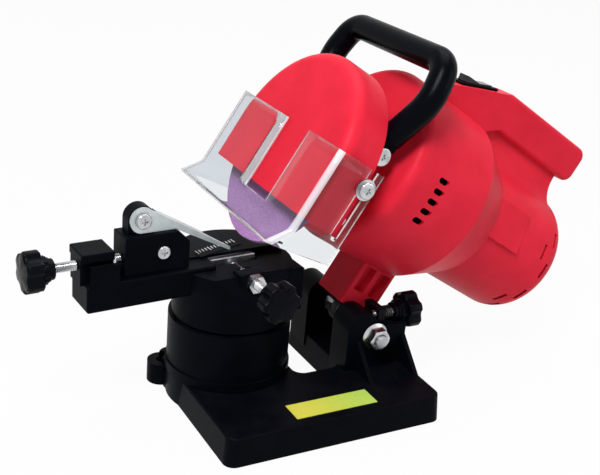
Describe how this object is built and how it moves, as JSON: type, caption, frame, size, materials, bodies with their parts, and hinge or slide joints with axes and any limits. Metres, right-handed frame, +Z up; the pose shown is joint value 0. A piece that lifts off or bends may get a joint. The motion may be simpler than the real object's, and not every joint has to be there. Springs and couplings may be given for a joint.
{
  "type": "electric chainsaw sharpener",
  "caption": "Bench chainsaw chain grinder with a hinged motor head, guarded grinding wheel, clear shield, swivelling clamp vise and adjustable chain stop.",
  "frame": {"origin": "centre of the vise turret on the plane that the base stands on", "axes": "+Z up, +X from the chain stop towards the motor, -Y towards the clamp knob side"},
  "size_m": [0.3965, 0.1523, 0.229],
  "materials": {
    "red_plastic": "satin moulded red",
    "black_plastic": "satin moulded black",
    "black_gloss": "gloss black",
    "black_rubber": "matt rubber",
    "label": "plain yellow-green sticker",
    "scale_print": null,
    "zinc": "bright zinc plate",
    "spring_steel": "dark oiled spring steel",
    "jaw_steel": "ground steel",
    "pawl_zinc": "zinc plated sheet",
    "bearing_steel": "ground steel",
    "core_steel": "stacked electrical sheet",
    "gear_case": "glass filled nylon",
    "flange_aluminium": "turned",
    "brass": "plain",
    "carbon": "pressed carbon",
    "clear_plastic": "clear polycarbonate",
    "wheel_abrasive": "vitrified lilac abrasive"
  },
  "bodies": {
    "base": {"base_stand": "black_plastic", "blank_label": "label", "pivot_bolt": "zinc", "pivot_flange_nut": "zinc", "pivot_washers": "zinc", "return_spring": "spring_steel"},
    "vise": {"vise_turret": "black_plastic", "angle_scale": "scale_print", "fixed_jaw": "jaw_steel", "clamp_nut": "zinc", "adjusting_nut": "zinc", "angle_lock_stud": "zinc", "angle_lock_sleeve": "black_plastic"},
    "lock_knob": {"angle_lock_knob": "black_plastic"},
    "carrier": {"chain_stop_carrier": "black_plastic", "screw_retainer": "zinc", "pawl_pivot_screw": "zinc"},
    "adjuster": {"adjusting_screw": "zinc", "adjusting_knob": "black_plastic"},
    "pawl": {"chain_stop_pawl": "pawl_zinc"},
    "jaw": {"moving_jaw": "jaw_steel"},
    "clamp": {"clamp_screw": "zinc", "clamp_knob": "black_plastic"},
    "head": {"housing_near": "red_plastic", "housing_far": "red_plastic", "housing_screws": "zinc", "cord_gland": "black_rubber", "switch_body": "black_plastic", "guard_cover": "red_plastic", "guard_backplate": "red_plastic", "guard_screws": "zinc", "shield_washers": "zinc", "shield_screws": "zinc", "handle": "black_plastic", "handle_screws": "zinc", "bearing_plate": "gear_case", "spindle_bearings": "bearing_steel", "motor_bearings": "bearing_steel", "stator": "core_steel", "carbon_brushes": "carbon", "brush_holders": "brass", "depth_stop_spring": "spring_steel"},
    "shield": {"shield": "clear_plastic"},
    "rocker": {"switch_rocker": "black_gloss"},
    "wheel": {"grinding_wheel": "wheel_abrasive", "inner_flange": "flange_aluminium", "outer_flange": "flange_aluminium", "spindle_nut": "zinc", "spindle": "bearing_steel", "spindle_gear": "bearing_steel"},
    "rotor": {"motor_shaft": "bearing_steel", "motor_pinion": "bearing_steel", "armature_core": "core_steel", "commutator": "brass", "cooling_fan": "black_plastic"},
    "depth_stop": {"depth_stop_screw": "zinc"},
    "depth_stop_grip": {"depth_stop_knob": "black_plastic"}
  },
  "joints": [
    {"name": "head_hinge", "type": "hinge", "parent": "base", "child": "head", "pos_m": [0.0857, 0, 0.0405], "axis": [0, -1, 0], "range_deg": [0, 6.3], "deforming": ["return_spring"]},
    {"name": "turret_swivel", "type": "hinge", "parent": "base", "child": "vise", "pos_m": [0, 0, 0.055], "axis": [0, 0, 1], "range_deg": [-38.5, 31.5]},
    {"name": "lock_knob_spin", "type": "hinge", "parent": "vise", "child": "lock_knob", "pos_m": [0, 0, 0.008], "axis": [0, 0, 1], "range_deg": [0, 360]},
    {"name": "carrier_slide", "type": "slide", "parent": "vise", "child": "carrier", "axis": [0.9981, 0.061, 0], "range_m": [-0.0035, 0.005]},
    {"name": "adjusting_screw_spin", "type": "hinge", "parent": "carrier", "child": "adjuster", "pos_m": [-0.09981, -0.0061, 0.1025], "axis": [0.9981, 0.061, 0], "range_deg": [-1261, 1801]},
    {"name": "pawl_pivot", "type": "hinge", "parent": "carrier", "child": "pawl", "pos_m": [-0.06338, -0.00388, 0.1265], "axis": [0.061, -0.9981, 0], "range_deg": [0, 70]},
    {"name": "jaw_slide", "type": "slide", "parent": "vise", "child": "jaw", "axis": [0.061, -0.9981, 0], "range_m": [-0.0017, 0.0034]},
    {"name": "clamp_screw_spin", "type": "hinge", "parent": "jaw", "child": "clamp", "pos_m": [0.00045, -0.04005, 0.088], "axis": [0.061, -0.9981, 0], "range_deg": [-613, 1225]},
    {"name": "shield_slide", "type": "slide", "parent": "head", "child": "shield", "axis": [0.5299, 0, 0.848], "range_m": [-0.006, 0.02]},
    {"name": "rocker_tip", "type": "hinge", "parent": "head", "child": "rocker", "pos_m": [0.16513, 0, 0.19103], "axis": [0, -1, 0], "range_deg": [0, 18]},
    {"name": "wheel_spin", "type": "hinge", "parent": "head", "child": "wheel", "pos_m": [0.0334, 0, 0.151], "axis": [0.848, 0, -0.5299], "continuous": true},
    {"name": "rotor_spin", "type": "hinge", "parent": "head", "child": "rotor", "pos_m": [0.04771, 0, 0.1739], "axis": [0.848, 0, -0.5299], "continuous": true},
    {"name": "depth_stop_slide", "type": "slide", "parent": "head", "child": "depth_stop", "axis": [1, 0, 0], "range_m": [-0.0004, 0.004], "deforming": ["depth_stop_spring"]},
    {"name": "depth_stop_spin", "type": "hinge", "parent": "depth_stop", "child": "depth_stop_grip", "pos_m": [0.11, -0.027, 0.05], "axis": [1, 0, 0], "range_deg": [-1441, 145]}
  ],
  "couplings": [
    {"joint": "adjusting_screw_spin", "follows": "carrier_slide", "rad_per_m": 6283.2},
    {"joint": "clamp_screw_spin", "follows": "jaw_slide", "rad_per_m": 6283.2},
    {"joint": "depth_stop_spin", "follows": "depth_stop_slide", "rad_per_m": -6283.2},
    {"joint": "rotor_spin", "follows": "wheel_spin", "ratio": -3.5}
  ]
}
